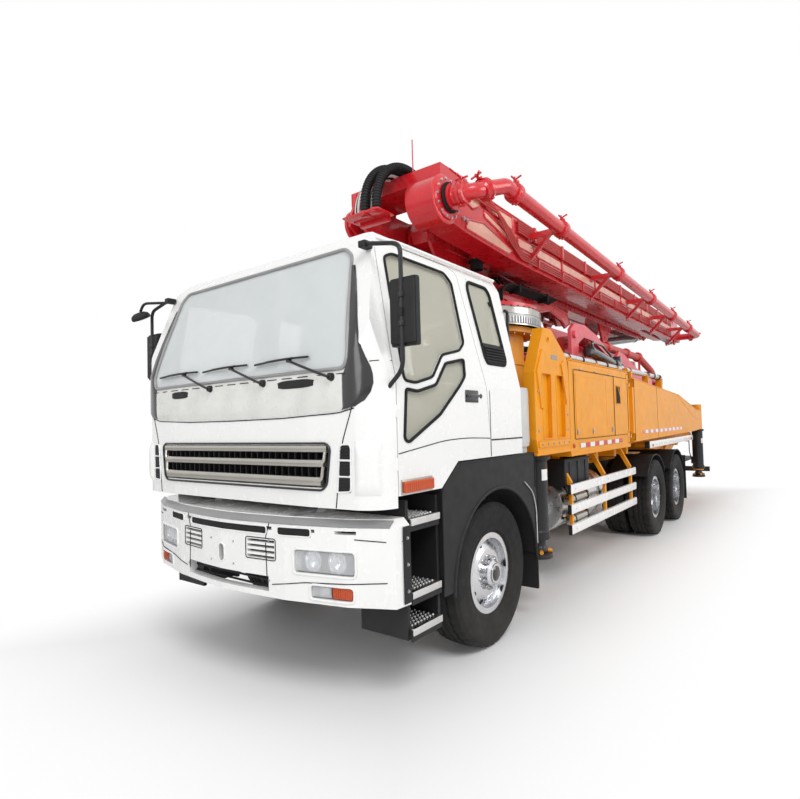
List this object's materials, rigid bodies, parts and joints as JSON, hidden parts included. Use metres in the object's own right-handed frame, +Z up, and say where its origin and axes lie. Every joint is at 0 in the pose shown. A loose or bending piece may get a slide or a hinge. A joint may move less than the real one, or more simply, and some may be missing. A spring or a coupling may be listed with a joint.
{
  "type": "concrete pump truck",
  "caption": "Truck-mounted concrete pump with a folding placing boom, tilting cab, outriggers and a rear hopper.",
  "frame": {"origin": "on the ground under the middle of the truck's bounding box", "axes": "+X forward, +Y to the truck's left, +Z up"},
  "size_m": [11.5998, 2.84, 4.21],
  "materials": {
    "frame_dark": "satin",
    "plastic_dark": "matte",
    "yellow": "gloss",
    "bumper_paint": "gloss",
    "cab_paint": "gloss",
    "glass": "gloss",
    "lamp": "gloss",
    "silver": "satin",
    "ring_grey": "satin",
    "boom_red": "gloss",
    "leg_black": "gloss",
    "cylinder_black": "gloss",
    "rod_chrome": "polished",
    "tyre": "matte",
    "rim_paint": "satin"
  },
  "bodies": {
    "truck": {"chassis_frame": "frame_dark", "engine_block": "frame_dark", "axles": "frame_dark", "mudguards": "frame_dark", "bumper": "bumper_paint", "lamps": "lamp", "tanks": "silver", "side_rails": "bumper_paint", "deck": "yellow", "side_boxes": "yellow", "pedestal": "yellow", "slewing_ring": "ring_grey", "hopper": "yellow", "pump_line": "frame_dark"},
    "cab": {"cab_shell": "cab_paint", "cab_glass": "glass", "cab_interior": "plastic_dark", "grille": "plastic_dark", "mirrors": "plastic_dark"},
    "door_l": {"door_l": "cab_paint", "door_glass_l": "glass"},
    "door_r": {"door_r": "cab_paint", "door_glass_r": "glass"},
    "knuckle_l": {"knuckle_l": "frame_dark"},
    "knuckle_r": {"knuckle_r": "frame_dark"},
    "front_wheel_l": {"front_tyre_l": "tyre", "front_rim_l": "rim_paint"},
    "front_wheel_r": {"front_tyre_r": "tyre", "front_rim_r": "rim_paint"},
    "rear_wheels_1l": {"rear_tyres_1l": "tyre", "rear_rims_1l": "rim_paint"},
    "rear_wheels_1r": {"rear_tyres_1r": "tyre", "rear_rims_1r": "rim_paint"},
    "rear_wheels_2l": {"rear_tyres_2l": "tyre", "rear_rims_2l": "rim_paint"},
    "rear_wheels_2r": {"rear_tyres_2r": "tyre", "rear_rims_2r": "rim_paint"},
    "front_outrigger_l": {"front_outrigger_l": "yellow"},
    "front_jack_l": {"front_jack_l": "leg_black"},
    "rear_outrigger_l": {"rear_outrigger_l": "yellow"},
    "rear_jack_l": {"rear_jack_l": "leg_black"},
    "front_outrigger_r": {"front_outrigger_r": "yellow"},
    "front_jack_r": {"front_jack_r": "leg_black"},
    "rear_outrigger_r": {"rear_outrigger_r": "yellow"},
    "rear_jack_r": {"rear_jack_r": "leg_black"},
    "turret": {"turret": "boom_red"},
    "arm_1": {"arm_1": "boom_red"},
    "arm_2": {"arm_2": "boom_red"},
    "arm_3": {"arm_3": "boom_red"},
    "arm_4": {"arm_4": "boom_red"},
    "cylinder_1_barrel": {"cylinder_1_barrel": "cylinder_black"},
    "cylinder_1_rod": {"cylinder_1_rod": "rod_chrome"},
    "cylinder_2_barrel": {"cylinder_2_barrel": "cylinder_black"},
    "cylinder_2_rod": {"cylinder_2_rod": "rod_chrome"},
    "cylinder_3_barrel": {"cylinder_3_barrel": "cylinder_black"},
    "cylinder_3_rod": {"cylinder_3_rod": "rod_chrome"},
    "cylinder_4_barrel": {"cylinder_4_barrel": "cylinder_black"},
    "cylinder_4_rod": {"cylinder_4_rod": "rod_chrome"},
    "hopper_grate": {"hopper_grate": "yellow"},
    "agitator": {"agitator": "frame_dark"}
  },
  "joints": [
    {"name": "cab_tilt", "type": "hinge", "parent": "truck", "child": "cab", "pos_m": [5.62, 0, 0.85], "axis": [0, 1, 0], "range_deg": [0, 45]},
    {"name": "door_l_hinge", "type": "hinge", "parent": "cab", "child": "door_l", "pos_m": [5.494, 1.24, 2], "axis": [0, 0, -1], "range_deg": [0, 70]},
    {"name": "door_r_hinge", "type": "hinge", "parent": "cab", "child": "door_r", "pos_m": [5.494, -1.24, 2], "axis": [0, 0, 1], "range_deg": [0, 70]},
    {"name": "steer_l", "type": "hinge", "parent": "truck", "child": "knuckle_l", "pos_m": [4.3, 0.8, 0.53], "axis": [0, 0, 1], "range_deg": [-38, 38]},
    {"name": "steer_r", "type": "hinge", "parent": "truck", "child": "knuckle_r", "pos_m": [4.3, -0.8, 0.53], "axis": [0, 0, 1], "range_deg": [-38, 38]},
    {"name": "front_spin_l", "type": "hinge", "parent": "knuckle_l", "child": "front_wheel_l", "pos_m": [4.3, 1.03, 0.53], "axis": [0, 1, 0], "continuous": true},
    {"name": "front_spin_r", "type": "hinge", "parent": "knuckle_r", "child": "front_wheel_r", "pos_m": [4.3, -1.03, 0.53], "axis": [0, 1, 0], "continuous": true},
    {"name": "rear_spin_1l", "type": "hinge", "parent": "truck", "child": "rear_wheels_1l", "pos_m": [-0.4, 0.925, 0.53], "axis": [0, 1, 0], "continuous": true},
    {"name": "rear_spin_1r", "type": "hinge", "parent": "truck", "child": "rear_wheels_1r", "pos_m": [-0.4, -0.925, 0.53], "axis": [0, 1, 0], "continuous": true},
    {"name": "rear_spin_2l", "type": "hinge", "parent": "truck", "child": "rear_wheels_2l", "pos_m": [-1.77, 0.925, 0.53], "axis": [0, 1, 0], "continuous": true},
    {"name": "rear_spin_2r", "type": "hinge", "parent": "truck", "child": "rear_wheels_2r", "pos_m": [-1.77, -0.925, 0.53], "axis": [0, 1, 0], "continuous": true},
    {"name": "front_outrigger_l_slide", "type": "slide", "parent": "truck", "child": "front_outrigger_l", "axis": [0, 1, 0], "range_m": [0, 1.6]},
    {"name": "front_jack_l_slide", "type": "slide", "parent": "front_outrigger_l", "child": "front_jack_l", "axis": [0, 0, -1], "range_m": [0, 0.45]},
    {"name": "rear_outrigger_l_swing", "type": "hinge", "parent": "truck", "child": "rear_outrigger_l", "pos_m": [0.74, 1.13, 1.755], "axis": [0, 0, -1], "range_deg": [0, 50]},
    {"name": "rear_jack_l_slide", "type": "slide", "parent": "rear_outrigger_l", "child": "rear_jack_l", "axis": [0, 0, -1], "range_m": [0, 0.45]},
    {"name": "front_outrigger_r_slide", "type": "slide", "parent": "truck", "child": "front_outrigger_r", "axis": [0, -1, 0], "range_m": [0, 1.6]},
    {"name": "front_jack_r_slide", "type": "slide", "parent": "front_outrigger_r", "child": "front_jack_r", "axis": [0, 0, -1], "range_m": [0, 0.45]},
    {"name": "rear_outrigger_r_swing", "type": "hinge", "parent": "truck", "child": "rear_outrigger_r", "pos_m": [0.74, -1.13, 1.755], "axis": [0, 0, 1], "range_deg": [0, 50]},
    {"name": "rear_jack_r_slide", "type": "slide", "parent": "rear_outrigger_r", "child": "rear_jack_r", "axis": [0, 0, -1], "range_m": [0, 0.45]},
    {"name": "slew", "type": "hinge", "parent": "truck", "child": "turret", "pos_m": [2.35, 0, 2.86], "axis": [0, 0, 1], "range_deg": [-180, 180]},
    {"name": "arm_1_fold", "type": "hinge", "parent": "turret", "child": "arm_1", "pos_m": [3.35, -0.01, 3.58], "axis": [0, 1, 0], "range_deg": [0, 90]},
    {"name": "arm_2_fold", "type": "hinge", "parent": "arm_1", "child": "arm_2", "pos_m": [-5, -0.01, 3.58], "axis": [0, -1, 0], "range_deg": [0, 180]},
    {"name": "arm_3_fold", "type": "hinge", "parent": "arm_2", "child": "arm_3", "pos_m": [3.98, -0.3, 3.58], "axis": [0, 1, 0], "range_deg": [0, 180]},
    {"name": "arm_4_fold", "type": "hinge", "parent": "arm_3", "child": "arm_4", "pos_m": [-5.645, 0.485, 3.5], "axis": [0, -1, 0], "range_deg": [0, 180]},
    {"name": "cylinder_1_pivot", "type": "hinge", "parent": "turret", "child": "cylinder_1_barrel", "pos_m": [3, -0.01, 3.012], "axis": [0, 1, 0], "range_deg": [0, 86.12]},
    {"name": "cylinder_1_stroke", "type": "slide", "parent": "cylinder_1_barrel", "child": "cylinder_1_rod", "axis": [-0.9991, 0, 0.0414], "range_m": [0, 0.9174]},
    {"name": "cylinder_2_pivot", "type": "hinge", "parent": "arm_1", "child": "cylinder_2_barrel", "pos_m": [-1.9, -0.01, 3.02], "axis": [0, 1, 0], "range_deg": [0, 3.73]},
    {"name": "cylinder_2_stroke", "type": "slide", "parent": "cylinder_2_barrel", "child": "cylinder_2_rod", "axis": [-0.9897, 0, 0.1429], "range_m": [0, 0.5649]},
    {"name": "cylinder_3_pivot", "type": "hinge", "parent": "arm_2", "child": "cylinder_3_barrel", "pos_m": [1.48, -0.3, 3.58], "axis": [0, -1, 0], "range_deg": [0, 6.95]},
    {"name": "cylinder_3_stroke", "type": "slide", "parent": "cylinder_3_barrel", "child": "cylinder_3_rod", "axis": [0.9978, 0, -0.0668], "range_m": [0, 0.5192]},
    {"name": "cylinder_4_pivot", "type": "hinge", "parent": "arm_3", "child": "cylinder_4_barrel", "pos_m": [-3.245, 0.485, 3.5], "axis": [0, 1, 0], "range_deg": [0, 7.25]},
    {"name": "cylinder_4_stroke", "type": "slide", "parent": "cylinder_4_barrel", "child": "cylinder_4_rod", "axis": [-0.9976, 0, -0.0699], "range_m": [0, 0.5191]},
    {"name": "hopper_grate_hinge", "type": "hinge", "parent": "truck", "child": "hopper_grate", "pos_m": [-5.445, 0, 1.53], "axis": [0, -1, 0], "range_deg": [0, 80]},
    {"name": "agitator_spin", "type": "hinge", "parent": "truck", "child": "agitator", "pos_m": [-4.9, 0, 1.13], "axis": [0, 1, 0], "continuous": true}
  ],
  "couplings": [
    {"joint": "steer_r", "follows": "steer_l", "ratio": 1},
    {"joint": "cylinder_1_pivot", "follows": "arm_1_fold", "ratio": 0.95676},
    {"joint": "cylinder_1_stroke", "follows": "arm_1_fold", "m_per_rad": 0.58371},
    {"joint": "cylinder_2_pivot", "follows": "arm_2_fold", "ratio": 0.020656},
    {"joint": "cylinder_2_stroke", "follows": "arm_2_fold", "m_per_rad": 0.17965},
    {"joint": "cylinder_3_pivot", "follows": "arm_3_fold", "ratio": 0.038565},
    {"joint": "cylinder_3_stroke", "follows": "arm_3_fold", "m_per_rad": 0.1651},
    {"joint": "cylinder_4_pivot", "follows": "arm_4_fold", "ratio": 0.040205},
    {"joint": "cylinder_4_stroke", "follows": "arm_4_fold", "m_per_rad": 0.16507}
  ]
}
